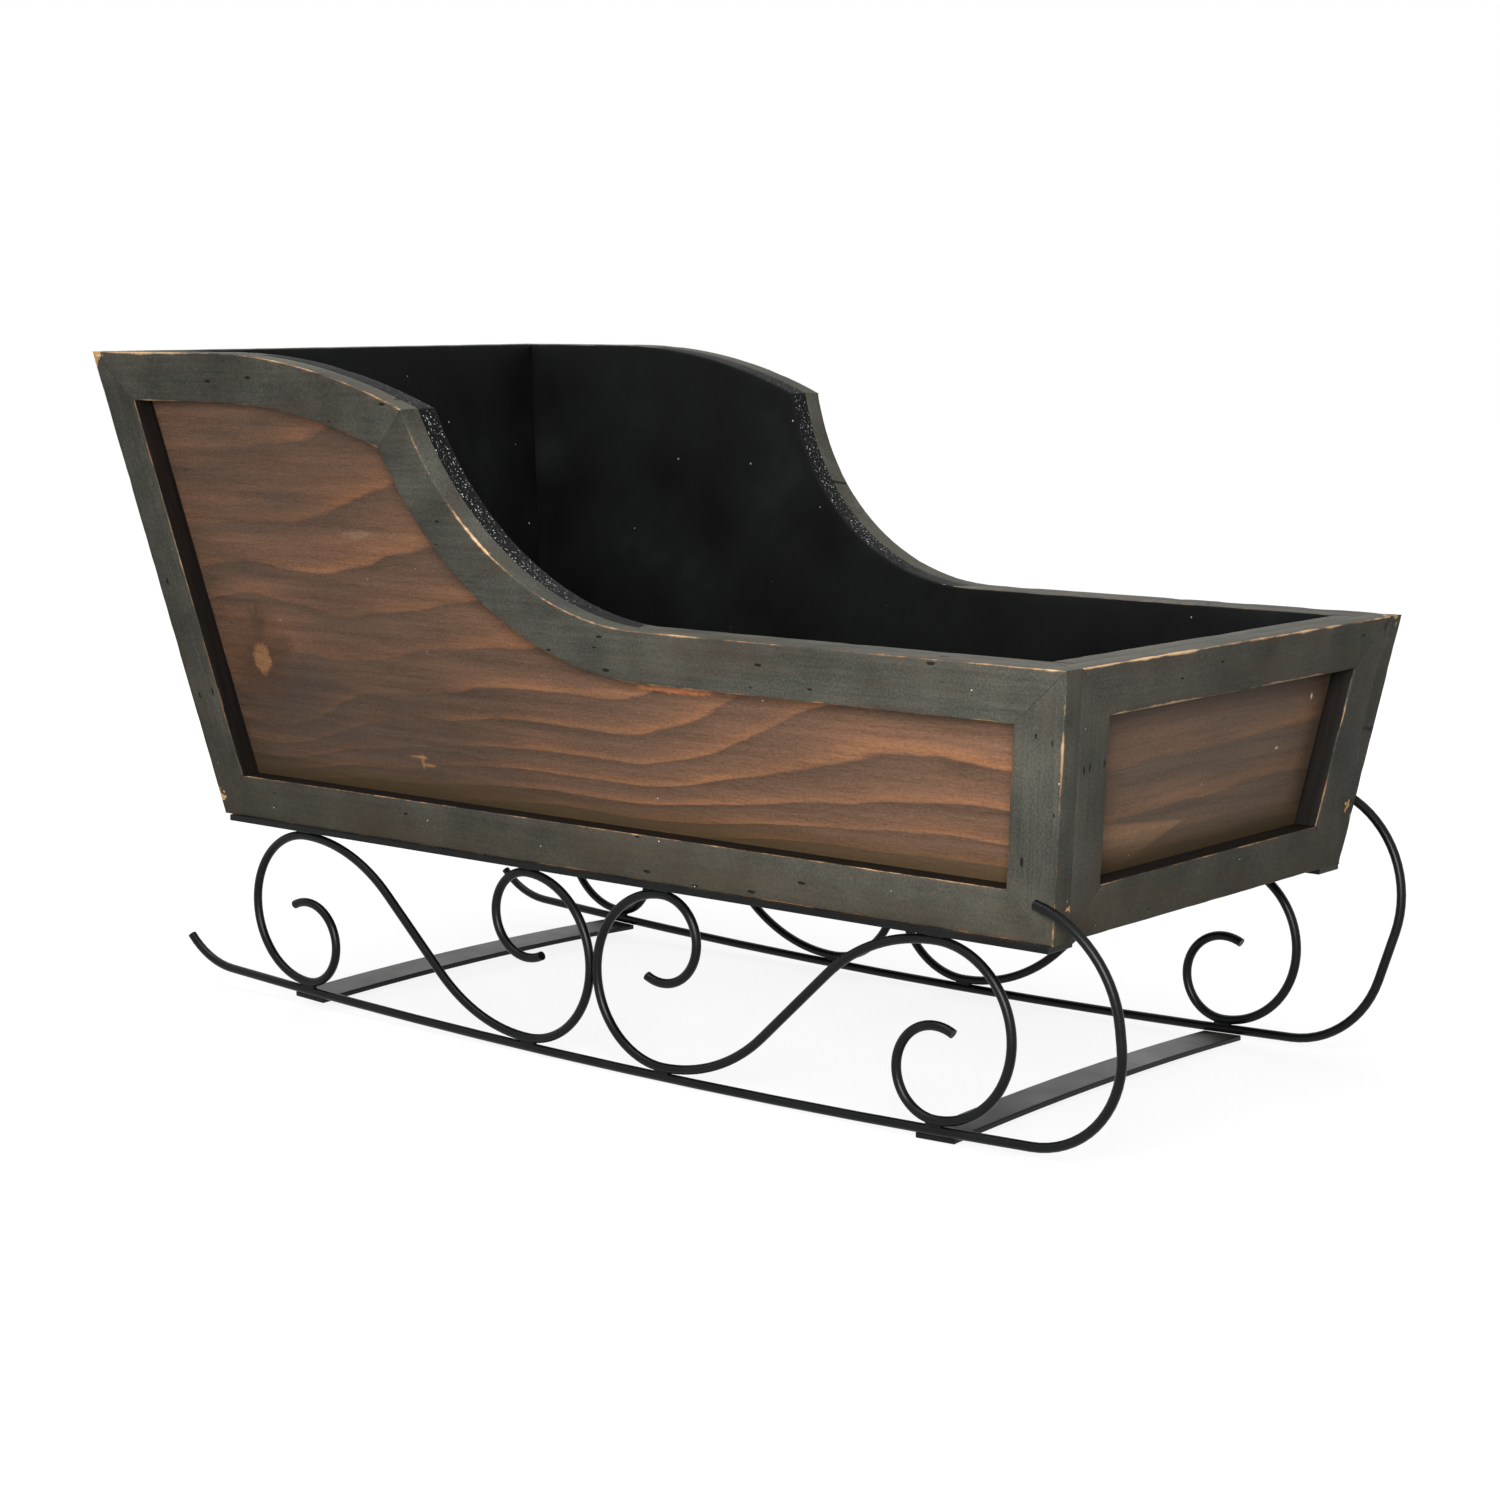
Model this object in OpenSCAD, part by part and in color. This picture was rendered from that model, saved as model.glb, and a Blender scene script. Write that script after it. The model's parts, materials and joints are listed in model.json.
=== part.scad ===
// Decorative wooden sleigh: panelled walls in mitred frames, on scrolled iron runners.
// Forward is +X, the sleigh's left is +Y, up is +Z.
// The flared walls are drawn as two flat views, from the side and from the end,
// and each piece of wood is what both views have in common.

/* [Body] */
// Length of the body along its bottom
floor_l = 497.5; // [440:0.5:560]
// Width of the body across its bottom
floor_w = 233; // [210:1:260]
// Height of the front and of the low sides
front_h = 113.5; // [100:0.5:130]
// Height of the back
back_h = 230; // [195:1:260]
// Outward lean of the sides, in degrees
side_flare = 9.6; // [4:0.1:14]
// Forward lean of the front, in degrees
front_lean = 8.7; // [4:0.1:14]
// Backward lean of the back, in degrees
back_lean = 11; // [4:0.1:16]
// Thickness of the boards
board_t = 11; // [8:0.5:14]
// Thickness of the floor board
floor_t = 11; // [8:0.5:16]

/* [Side outline] */
// Distance of the peak from the back's foot
peak_l = 167.5; // [150:0.5:185]
// Length of the hollow sweep that runs down from the peak
sweep_l = 126.5; // [115:0.5:140]
// Length of the arch that rises from the peak to the back
arch_l = 126; // [105:1:140]
// Drop of the arch from the back's height to the peak
arch_drop = 24; // [14:0.5:36]

/* [Frame strips] */
// Thickness of the strips
strip_t = 11; // [7:0.5:14]
// Width of the stiles, the bottom rails and the end frames
strip_w = 21.5; // [16:0.5:27]
// Width of the front stiles of the sides
front_stile_w = 23.5; // [18:0.5:28]
// Width of the arch and sweep rails
rail_w = 23.5; // [17:0.5:28]

/* [Ironwork] */
// Height of the body's bottom over the lowest point of the rod's axis
stand_h = 88; // [78:1:100]
// Distance of the bow's lowest point ahead of the body's middle
bow_ahead = 35; // [20:0.5:50]
// Diameter of the iron rod
rod_d = 4.25; // [3:0.25:6]
// Distance of each runner's axis in from the foot of the side above it
runner_inset = 1.5; // [0:0.25:5]
// Radius of the runner's gentle bow
bow_r = 5000; // [3500:100:9000]
// Width of the flat bars under the sides
bar_w = 18; // [14:0.5:24]
// Thickness of the flat bars
bar_t = 3; // [2:0.25:5]
// Distance of the bars' front ends behind the front's foot
bar_front_inset = 6; // [0:0.5:12]
// Distance of the bars' rear ends ahead of the back's foot
bar_rear_inset = 5; // [0:0.5:12]
// Width of the cross straps
strap_w = 20; // [14:0.5:26]
// Thickness of the cross straps
strap_t = 2.5; // [2:0.25:5]
// Rise of the cross straps at their middle
strap_rise = 2.4; // [1:0.1:5]

/* [Scrolls] */
// Distance of the outer spirals' middle in from the ends of the body
scroll_inset = 58; // [50:0.5:66]
// Radius of the small curl at each end of a scroll
curl_r = 20; // [14:0.5:24]
// Turn of the small curl, in degrees
curl_turn = 207; // [150:1:230]

/* [Runner ends] */
// Distance of the start of the right front curl behind the front's foot
nose_inset = 10; // [2:0.5:20]
// Distance of the start of the left front curl behind the front's foot
left_nose_inset = 21.5; // [12:0.5:30]
// Radius of the lower bend of the front curls
nose_r = 46; // [40:0.5:54]
// Radius of the upper bend of the front curls
nose_top_r = 50; // [42:0.5:58]
// Straight length between the two bends of the right front curl
nose_straight = 7; // [3:0.5:14]
// Straight length between the two bends of the left front curl, which stands taller
left_nose_straight = 23; // [14:0.5:34]
// Radius of the upturned tail
tail_r = 46; // [36:1:60]

/* [Hidden] */
$fn = 96;
// Facets of a whole circle: round the rod's section, and along its wide bows
rod_facets = 24;
bow_facets = 3600;

paint = "#3d3f3b";
stain = "#6b4a38";
iron = "#2a2c2b";

// Length that the flat views are drawn to, so that each reaches past the whole sleigh
reach = 2 * (floor_l + back_h);
// Feet of the front and back walls, from the bow's lowest point
front_foot = floor_l / 2 - bow_ahead;
back_foot = front_foot - floor_l;
// Distance from the bow's lowest point back to the tail
tail_x = -back_foot;
runner_gauge = floor_w - 2 * runner_inset;
wall_t = strip_t + board_t;
// Width of bar that shows outside the body
bar_outset = 1.5;
// Play between iron that is welded on a curved face
weld_gap = 0.1;
// Gap between two bends of a rod, and the plug that joins them across it
joint_gap = 0.1;
plug_l = 2;
plug_inset = 0.2;
// Length and width of a weld
weld_l = 8;
weld_w = 2.6;
// Angles of the front curls' lower and upper bends, right and left, and of the tail, in degrees
nose_turns = [[92, 73], [71.5, 88]];
tail_turn = 42;
// How far past a straight line between two spirals the scroll's shoulders bend, from 1 to 2
shoulder_share = 1.56;

// Places along X of the front and back walls and half width between the sides, at a height
// over the body's bottom and a depth into the wall
function front_x(z, depth = 0) = front_foot + z * tan(front_lean) - depth / cos(front_lean);
function back_x(z, depth = 0) = back_foot - z * tan(back_lean) + depth / cos(back_lean);
function side_y(z, depth = 0) = floor_w / 2 + z * tan(side_flare) - depth / cos(side_flare);

// Side outline: level back, arch down to the peak, hollow sweep, level front
peak_x = back_foot + peak_l;
peak_h = back_h - arch_drop;
arch_x = peak_x - arch_l;
arch_r = (arch_drop * arch_drop + arch_l * arch_l) / (2 * arch_drop);
sweep_x = peak_x + sweep_l;
sweep_drop = peak_h - front_h;
sweep_r = (sweep_drop * sweep_drop + sweep_l * sweep_l) / (2 * sweep_drop);
arch_c = [arch_x, back_h - arch_r];
sweep_c = [sweep_x, front_h + sweep_r];

// Upper left of the two points where circles p, r and q, s cross
function cross_point(p, r, q, s) =
    let (
        gap = norm(q - p),
        along = (gap * gap + r * r - s * s) / (2 * gap),
        aside = sqrt(r * r - along * along),
        u = (q - p) / gap
    )
    p + along * u + aside * [-u.y, u.x];

// Corners of the side frame: [outer, inner]
rear_low = [[back_x(0), 0], [back_x(strip_w, strip_w), strip_w]];
front_low = [[front_x(0), 0], [front_x(strip_w, front_stile_w), strip_w]];
front_top = [[front_x(front_h), front_h], [front_x(front_h - rail_w, front_stile_w), front_h - rail_w]];
rear_top = [[back_x(back_h), back_h], [back_x(back_h - rail_w, strip_w), back_h - rail_w]];
peak = [[peak_x, peak_h], cross_point(arch_c, arch_r - rail_w, sweep_c, sweep_r + rail_w)];

// Iron heights, over the lowest point of the rod's axis
bar_z = stand_h - bar_t;
function bow_z(x) = bow_r - sqrt(bow_r * bow_r - x * x);
function bow_angle(x) = asin(x / bow_r);
// Rod centres where a scroll touches the bar above it and the runner below it
scroll_top = bar_z - rod_d / 2 - weld_gap;
function scroll_low(x) = bow_z(x) + rod_d + weld_gap;
function spiral_r(x) = (scroll_top - scroll_low(x)) / 2;
// Two scrolls touch under the body's middle. Place of the spiral ahead of it or behind it
meet_x = -bow_ahead;
function beside_meet(way) =
    let (near = meet_x + way * (spiral_r(meet_x) + rod_d / 2))
    meet_x + way * (spiral_r(near) + rod_d / 2 + weld_gap / 2);
rear_scroll_x = back_foot + scroll_inset;
front_scroll_x = front_foot - scroll_inset;

// A front curl in its own plane, from the end of the bow: a lower bend, a straight stretch and
// an upper bend
function nose_x(left) = front_foot - (left ? left_nose_inset : nose_inset);
function nose_turn(left) = nose_turns[left ? 1 : 0];
function low_bend_end(left) =
    let (turn = nose_turn(left)[0])
    nose_r * [sin(turn), 1 - cos(turn)];
function top_bend_start(left) =
    let (turn = nose_turn(left)[0])
    low_bend_end(left) + (left ? left_nose_straight : nose_straight) * [cos(turn), sin(turn)];
function top_bend_c(left) =
    let (turn = nose_turn(left)[0])
    top_bend_start(left) + nose_top_r * [-sin(turn), cos(turn)];
function nose_h(left) =
    let (turns = nose_turn(left))
    top_bend_c(left).y - nose_top_r * cos(turns[0] + turns[1]);
// It leans out so that its end lies against the flared side
function nose_lean(left) =
    let (end_z = bow_z(nose_x(left)) + nose_h(left) - stand_h)
    asin((side_y(end_z) + rod_d / 2 + weld_gap - runner_gauge / 2) / nose_h(left));
// Foremost point of a front curl
function nose_tip(left) =
    let (
        slope = bow_angle(nose_x(left)),
        low_reach = nose_r * (1 - sin(slope)),
        top_reach = top_bend_c(left) * [cos(slope), -sin(slope)] + nose_top_r
    )
    nose_x(left) + max(low_reach, top_reach) + rod_d / 2;

// Cross strap: an arc of flat bar whose ends lie under the rods
strap_r = (runner_gauge * runner_gauge / 4 + strap_rise * strap_rise) / (2 * strap_rise);
function strap_foot(x) =
    bow_z(x) - rod_d / 2 - weld_gap - strap_t - strap_w / 2 * abs(sin(bow_angle(x)));

// The origin is on the ground, under the middle of the sleigh's length
ground = min(-rod_d / 2, strap_foot(rear_scroll_x), strap_foot(front_scroll_x));
middle = (back_x(back_h) + max(nose_tip(false), nose_tip(true), front_x(front_h))) / 2;

module in_place() translate([-middle, 0, -ground]) children();
module on_stand() in_place() translate([0, 0, stand_h]) children();
module mirrored(left) mirror([0, left ? 1 : 0, 0]) children();

// A flat side view, drawn in X and Z, carried right across the sleigh
module side_view() rotate([90, 0, 0]) linear_extrude(reach, center = true) children();
// A flat end view, drawn in Y and Z, carried along the sleigh
module end_view() rotate([90, 0, 90]) linear_extrude(reach, center = true) children();
// The half of the plane on the left of the way from p to q
module left_of(p, q)
    translate(p) rotate(atan2(q.y - p.y, q.x - p.x)) translate([-reach, 0]) square([2 * reach, reach]);
module ring(centre, outer, inner) translate(centre) difference() {
    circle(outer);
    circle(inner);
}

// Whole side outline, with its ends set in by a depth
module side_outline(depth) difference() {
    polygon([[back_x(0, depth), 0], [front_x(0, depth), 0],
             [front_x(back_h, depth), back_h], [back_x(back_h, depth), back_h]]);
    translate([sweep_x, front_h]) square([reach, reach]);
    translate(sweep_c) circle(sweep_r);
    difference() {
        translate([arch_x, front_h]) square([reach, reach]);
        translate(arch_c) circle(arch_r);
    }
}

module bottom_rail_view() polygon([rear_low[0], front_low[0], front_low[1], rear_low[1]]);
module rear_stile_view() polygon([rear_low[0], rear_low[1], rear_top[1], rear_top[0]]);
module front_stile_view() polygon([front_low[0], front_top[0], front_top[1], front_low[1]]);
module sweep_rail_view() {
    polygon([[sweep_x, front_h], [sweep_x, front_h - rail_w], front_top[1], front_top[0]]);
    intersection() {
        ring(sweep_c, sweep_r + rail_w, sweep_r);
        left_of(peak[0], peak[1]);
        translate([sweep_x - reach, sweep_c.y - reach]) square([reach, reach]);
    }
}
module arch_rail_view() {
    polygon([rear_top[0], rear_top[1], [arch_x, back_h - rail_w], [arch_x, back_h]]);
    intersection() {
        ring(arch_c, arch_r, arch_r - rail_w);
        left_of(peak[1], peak[0]);
        translate([arch_x, arch_c.y]) square([reach, reach]);
    }
}

// Section of the right side between two depths
module side_section(from, to) polygon([
    [-side_y(0, from), 0], [-side_y(0, to), 0],
    [-side_y(back_h, to), back_h], [-side_y(back_h, from), back_h]]);
module side_piece(from, to, left) on_stand() mirrored(left) intersection() {
    side_view() children();
    end_view() side_section(from, to);
}
module side_strip(left) color(paint) side_piece(0, strip_t, left) children();
module side_board(left) color(stain) side_piece(strip_t, wall_t, left) side_outline(strip_t);

// Strips of an end frame of height h, seen from the end, between the two sides' strips
function end_edge(z, depth) = side_y(z, strip_t + depth);
module end_rail_view(outer, inner) polygon([
    [-end_edge(outer, 0), outer], [end_edge(outer, 0), outer],
    [end_edge(inner, strip_w), inner], [-end_edge(inner, strip_w), inner]]);
module end_stile_view(h) polygon([
    [-end_edge(0, 0), 0], [-end_edge(strip_w, strip_w), strip_w],
    [-end_edge(h - strip_w, strip_w), h - strip_w], [-end_edge(h, 0), h]]);
module end_board_view(h) polygon([
    [-side_y(0, wall_t), 0], [side_y(0, wall_t), 0], [side_y(h, wall_t), h], [-side_y(h, wall_t), h]]);

// Side views of the front and back walls between two depths
module front_section(from, to) polygon([
    [front_x(0, from), 0], [front_x(0, to), 0],
    [front_x(front_h, to), front_h], [front_x(front_h, from), front_h]]);
module back_section(from, to) polygon([
    [back_x(0, from), 0], [back_x(0, to), 0],
    [back_x(back_h, to), back_h], [back_x(back_h, from), back_h]]);
module front_strip(left = false) color(paint) on_stand() mirrored(left) intersection() {
    end_view() children();
    side_view() front_section(0, strip_t);
}
module back_strip(left = false) color(paint) on_stand() mirrored(left) intersection() {
    end_view() children();
    side_view() back_section(0, strip_t);
}

module front_board() color(stain) on_stand() intersection() {
    end_view() end_board_view(front_h);
    side_view() front_section(strip_t, wall_t);
}
module back_board() color(stain) on_stand() intersection() {
    end_view() end_board_view(back_h);
    side_view() back_section(strip_t, wall_t);
}
module floor_board() color(paint) on_stand() intersection() {
    end_view() end_board_view(floor_t);
    side_view() polygon([[back_x(0, wall_t), 0], [front_x(0, wall_t), 0],
                         [front_x(floor_t, wall_t), floor_t], [back_x(floor_t, wall_t), floor_t]]);
}

// Flat bar screwed under the foot of a side
module bar(left) color(iron) in_place() mirrored(left)
    translate([back_foot + bar_rear_inset, -floor_w / 2 - bar_outset, bar_z])
        cube([floor_l - bar_rear_inset - bar_front_inset, bar_w, bar_t]);

// Round rod bent on a circle in the plane of X and Z, between two angles
module rod_arc(centre, radius, from, to) {
    trim = joint_gap / radius * 90 / PI;
    rotate([90, 0, 0]) translate(centre) rotate(from + trim)
        rotate_extrude(angle = to - from - 2 * trim)
            translate([radius, 0]) circle(d = rod_d, $fn = rod_facets);
}
module rod_line(from, to) {
    way = to - from;
    translate([from.x, 0, from.y]) rotate([0, 90 - atan2(way.y, way.x), 0])
        translate([0, 0, joint_gap / 2])
            cylinder(d = rod_d, h = norm(way) - joint_gap, $fn = rod_facets);
}
// Plug where one bend of the rod runs on into the next, along the rod's way there
module plug(place, way) translate([place.x, 0, place.y]) rotate([0, 90 - way, 0])
    cylinder(d = rod_d - 2 * plug_inset, h = plug_l, center = true, $fn = rod_facets);

module in_runner_plane(left) in_place() mirrored(left) translate([0, -runner_gauge / 2, 0]) children();

module bow(left = false)
    rod_arc([0, bow_r], bow_r, 270 - bow_angle(tail_x), 270 + bow_angle(nose_x(left)), $fn = bow_facets);
module tail() {
    lean = bow_angle(tail_x);
    foot = [-tail_x, bow_z(tail_x)];
    rod_arc(foot + tail_r * [sin(lean), cos(lean)], tail_r, 270 - lean - tail_turn, 270 - lean);
    plug(foot, -lean);
}
module nose(left) {
    low = nose_turn(left)[0];
    top = low + nose_turn(left)[1];
    x = nose_x(left);
    translate([x, 0, bow_z(x)]) rotate([0, -bow_angle(x), 0]) rotate([nose_lean(left), 0, 0]) {
        rod_arc([0, nose_r], nose_r, 270, 270 + low);
        rod_line(low_bend_end(left), top_bend_start(left));
        rod_arc(top_bend_c(left), nose_top_r, 270 + low, 270 + top);
        plug([0, 0], 0);
        for (place = [low_bend_end(left), top_bend_start(left)]) plug(place, low);
    }
}
module runner(left) color(iron) in_runner_plane(left) {
    bow(left);
    tail();
    nose(left);
}

// Weld that joins the scroll to the bar above it and to the runner below it
module weld(from, to) translate([-weld_l / 2, -weld_w / 2, from]) cube([weld_l, weld_w, to - from]);
module welds(x) translate([x, 0, 0]) {
    weld(scroll_top, bar_z);
    weld(bow_z(x), scroll_low(x));
}

// One scroll: its low curl rises from the runner at low_x, its high curl hangs from the bar
// at high_x
module scroll(low_x, high_x) {
    span = abs(high_x - low_x);
    low = scroll_low(low_x);
    high = scroll_low(high_x);
    fall = scroll_top - high;
    bend = shoulder_share * atan(fall / span);
    shoulder_r = (sin(bend) * span - cos(bend) * fall) / 2 / (1 - cos(bend));
    above = [0, scroll_top - shoulder_r];
    below = [span, high + shoulder_r];
    hook = shoulder_r * [sin(bend), cos(bend)];
    translate([low_x, 0, 0]) mirror([high_x < low_x ? 1 : 0, 0, 0]) {
        rod_arc([0, low + curl_r], curl_r, -90, curl_turn - 90);
        rod_arc([0, (low + scroll_top) / 2], spiral_r(low_x), 90, 270);
        rod_arc(above, shoulder_r, 90 - bend, 90);
        rod_line(above + hook, below - hook);
        rod_arc(below, shoulder_r, 270 - bend, 270);
        rod_arc([span, (high + scroll_top) / 2], spiral_r(high_x), -90, 90);
        rod_arc([span, scroll_top - curl_r], curl_r, 90, curl_turn + 90);
        for (place = [[0, low], [0, scroll_top], [span, high], [span, scroll_top]]) plug(place, 0);
        for (place = [above + hook, below - hook]) plug(place, -bend);
    }
    difference() {
        for (x = [low_x, high_x]) welds(x);
        bow();
    }
}
module rear_scroll(left) color(iron) in_runner_plane(left) scroll(rear_scroll_x, beside_meet(-1));
module front_scroll(left) color(iron) in_runner_plane(left) scroll(front_scroll_x, beside_meet(1));

// Cross strap under the two runners, tilted to the bow
module strap(x) color(iron) in_place()
    translate([x, 0, bow_z(x)]) rotate([0, -bow_angle(x), 0])
        translate([0, 0, -rod_d / 2 - weld_gap + strap_rise - strap_r])
            rotate([90, 0, 90]) linear_extrude(strap_w, center = true) intersection() {
                ring([0, 0], strap_r, strap_r - strap_t, $fn = bow_facets);
                translate([-runner_gauge / 2, 0]) square([runner_gauge, reach + strap_r]);
            }

floor_board();
side_board(false);  // right_side_board
side_strip(false) bottom_rail_view();  // right_bottom_rail
side_strip(false) rear_stile_view();  // right_rear_stile
side_strip(false) front_stile_view();  // right_front_stile
side_strip(false) sweep_rail_view();  // right_sweep_rail
side_strip(false) arch_rail_view();  // right_arch_rail
side_board(true);  // left_side_board
side_strip(true) bottom_rail_view();  // left_bottom_rail
side_strip(true) rear_stile_view();  // left_rear_stile
side_strip(true) front_stile_view();  // left_front_stile
side_strip(true) sweep_rail_view();  // left_sweep_rail
side_strip(true) arch_rail_view();  // left_arch_rail
front_board();
front_strip() end_rail_view(front_h, front_h - strip_w);  // front_top_rail
front_strip() end_rail_view(0, strip_w);  // front_bottom_rail
front_strip() end_stile_view(front_h);  // front_right_stile
front_strip(true) end_stile_view(front_h);  // front_left_stile
back_board();
back_strip() end_rail_view(back_h, back_h - strip_w);  // back_top_rail
back_strip() end_rail_view(0, strip_w);  // back_bottom_rail
back_strip() end_stile_view(back_h);  // back_right_stile
back_strip(true) end_stile_view(back_h);  // back_left_stile
bar(false);  // right_bar
bar(true);  // left_bar
runner(false);  // right_runner
runner(true);  // left_runner
rear_scroll(false);  // right_rear_scroll
front_scroll(false);  // right_front_scroll
rear_scroll(true);  // left_rear_scroll
front_scroll(true);  // left_front_scroll
strap(front_scroll_x);  // front_strap
strap(rear_scroll_x);  // rear_strap
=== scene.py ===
# %% [markdown]
# # A display sleigh on scrolled iron runners
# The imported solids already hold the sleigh's shape: boards, mitred strips, bars, rods and straps.
# This lesson dresses them. Each wooden piece is copied, its edges are softened and rubbed, and the
# finishes are built from nodes: paint worn to bare pine, walnut stain, flat black and satin iron.
# The shapes could be modelled again by hand, but copies of the solids can't drift away from them.

# %% Load the frame
import json
import math

import bmesh
import bpy
import numpy as np
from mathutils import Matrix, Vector, noise
from mathutils.bvhtree import BVHTree


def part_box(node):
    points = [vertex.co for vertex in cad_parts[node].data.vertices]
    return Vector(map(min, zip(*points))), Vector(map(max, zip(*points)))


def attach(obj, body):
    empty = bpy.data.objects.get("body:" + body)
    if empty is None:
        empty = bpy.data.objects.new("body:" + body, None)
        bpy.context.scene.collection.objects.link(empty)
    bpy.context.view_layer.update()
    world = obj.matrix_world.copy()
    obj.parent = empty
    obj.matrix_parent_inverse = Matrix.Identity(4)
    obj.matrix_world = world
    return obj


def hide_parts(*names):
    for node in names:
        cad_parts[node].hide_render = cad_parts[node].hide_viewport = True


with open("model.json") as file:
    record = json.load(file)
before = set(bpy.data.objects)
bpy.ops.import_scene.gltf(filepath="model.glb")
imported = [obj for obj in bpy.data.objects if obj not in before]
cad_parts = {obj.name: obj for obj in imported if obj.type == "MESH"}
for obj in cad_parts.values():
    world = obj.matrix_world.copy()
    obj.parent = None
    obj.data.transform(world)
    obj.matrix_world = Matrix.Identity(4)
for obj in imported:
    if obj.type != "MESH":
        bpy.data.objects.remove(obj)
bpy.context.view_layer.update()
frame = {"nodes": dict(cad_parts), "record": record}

MM = 0.001
nodes = frame["nodes"]
slots = {row["node"]: row["material_slot"] for row in frame["record"]["subparts"]}
wooden = [name for name in nodes if slots[name] != "black_iron"]
iron = [name for name in nodes if slots[name] == "black_iron"]

# %% [markdown]
# ## Camera
# The sleigh's own straight edges gave the camera: it stands off the front right corner, a little
# above the body, with a long lens. A camera could be moved by eye until the outlines match, but
# edges that are known to be square settle it sooner. The small shift moves the frame over the
# picture, as a view camera does, so that the sleigh lies where the photograph has it.

# %% Place the camera
CAMERA_PLACE = Vector((905.1, -1094.8, 344.6)) * MM
CAMERA_YAW = -0.7023
CAMERA_PITCH = -0.1529
CAMERA_ROLL = 0.0022
SENSOR_MM = 36.0
LENS_MM = 72.17
CAMERA_SHIFT = (0.0246, 0.0092)

camera_data = bpy.data.cameras.new("camera")
camera_data.sensor_width = SENSOR_MM
camera_data.lens = LENS_MM
camera_data.shift_x, camera_data.shift_y = CAMERA_SHIFT
camera = bpy.data.objects.new("camera", camera_data)
camera.location = CAMERA_PLACE
camera.rotation_euler = (math.pi / 2 + CAMERA_PITCH, CAMERA_ROLL, -CAMERA_YAW)
bpy.context.scene.collection.objects.link(camera)
bpy.context.scene.camera = camera
print("camera at", tuple(round(c, 3) for c in CAMERA_PLACE), "m")

# %% [markdown]
# ## Two helpers for every finish
# A finish is a chain of nodes. One function adds a node, sets it and links it, and hands back one
# of its outputs, so that a chain reads from top to bottom. Colours are written as a paint chart
# would give them, in sRGB hex, and turned to the linear values that light adds up in.

# %% Colour and node helpers
def linear(hex_colour):
    """Linear RGBA of an sRGB hex value such as 3d3f3b."""
    channels = [int(hex_colour[i:i + 2], 16) / 255 for i in (0, 2, 4)]
    return [c / 12.92 if c <= 0.04045 else ((c + 0.055) / 1.055) ** 2.4 for c in channels] + [1.0]


def add(tree, kind, inputs=None, out=0, stops=None, **settings):
    """Adds a node with its settings, fills or links its inputs, and returns one of its outputs."""
    node = tree.nodes.new("ShaderNode" + kind)
    for name, value in settings.items():
        setattr(node, name, value)
    for name, value in (inputs or {}).items():
        if isinstance(value, bpy.types.NodeSocket):
            tree.links.new(value, node.inputs[name])
        else:
            node.inputs[name].default_value = value
    if stops:
        ramp = node.color_ramp.elements
        while len(ramp) < len(stops):
            ramp.new(1.0)
        for element, (position, colour) in zip(ramp, stops):
            element.position = position
            element.color = linear(colour)
    return node.outputs[out]


def new_finish(name):
    """A material with its node tree and its shader node."""
    finish = bpy.data.materials.new(name)
    finish.use_nodes = True
    return finish, finish.node_tree, finish.node_tree.nodes["Principled BSDF"]


print("white is", linear("ffffff"))

# %% [markdown]
# ## Stage and light
# A product shot stands on white paper. To light the paper until it turns white would bleach the
# sleigh too. So the floor and the world are white only where the camera or a gloss reflection looks
# at them, and the light that falls on the sleigh stays at a plain level, at which a colour renders
# about as it is written. Near the sleigh the paper glows a little less, so its soft shadow shows.

# %% Floor and world
FLOOR_SIZE = 14.0
FLOOR_SHADE = 0.16
# The paper's own white: less under the sleigh, where the lamps add to it, and full a metre away
NEAR_GLOW = 0.86
FAR_GLOW = 1.0
GLOW_REACH = (0.45, 1.2)
FLOOR_BOUNCE = 0.08
WORLD_LIGHT = 0.11


def seen_directly(tree):
    """1 where the camera or a reflection looks at the surface, 0 where it only sends light on."""
    camera_ray = add(tree, "LightPath", out="Is Camera Ray")
    glossy_ray = add(tree, "LightPath", out="Is Glossy Ray")
    clear_ray = add(tree, "LightPath", out="Is Transmission Ray")
    either = add(tree, "Math", {0: camera_ray, 1: glossy_ray}, operation="MAXIMUM")
    return add(tree, "Math", {0: either, 1: clear_ray}, operation="MAXIMUM")


bpy.ops.object.select_all(action="DESELECT")
bpy.ops.mesh.primitive_plane_add(size=FLOOR_SIZE)
floor = bpy.context.object
floor.name = "studio_floor"
floor_finish, tree, shader = new_finish("white_paper")
paper = add(tree, "MapRange", {"Value": seen_directly(tree), "To Min": FLOOR_BOUNCE,
                               "To Max": FLOOR_SHADE})
tree.links.new(paper, shader.inputs["Base Color"])
shader.inputs["Roughness"].default_value = 0.9
shader.inputs["Specular IOR Level"].default_value = 0.0
shader.inputs["Emission Color"].default_value = linear("ffffff")
spot = add(tree, "TexCoord", out="Object")
away = add(tree, "VectorMath", {0: spot}, out="Value", operation="LENGTH")
glow = add(tree, "MapRange", {"Value": away, "From Min": GLOW_REACH[0], "From Max": GLOW_REACH[1],
                              "To Min": NEAR_GLOW, "To Max": FAR_GLOW})
glow = add(tree, "Math", {0: seen_directly(tree), 1: glow}, operation="MULTIPLY")
tree.links.new(glow, shader.inputs["Emission Strength"])
floor.data.materials.append(floor_finish)

world = bpy.data.worlds.new("white_studio")
world.use_nodes = True
bpy.context.scene.world = world
tree = world.node_tree
world_level = add(tree, "MapRange", {"Value": seen_directly(tree), "To Min": WORLD_LIGHT,
                                     "To Max": 1.0})
tree.links.new(world_level, tree.nodes["Background"].inputs["Strength"])
tree.nodes["Background"].inputs["Color"].default_value = linear("ffffff")
print("stage:", floor.name, "and", world.name)

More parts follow.
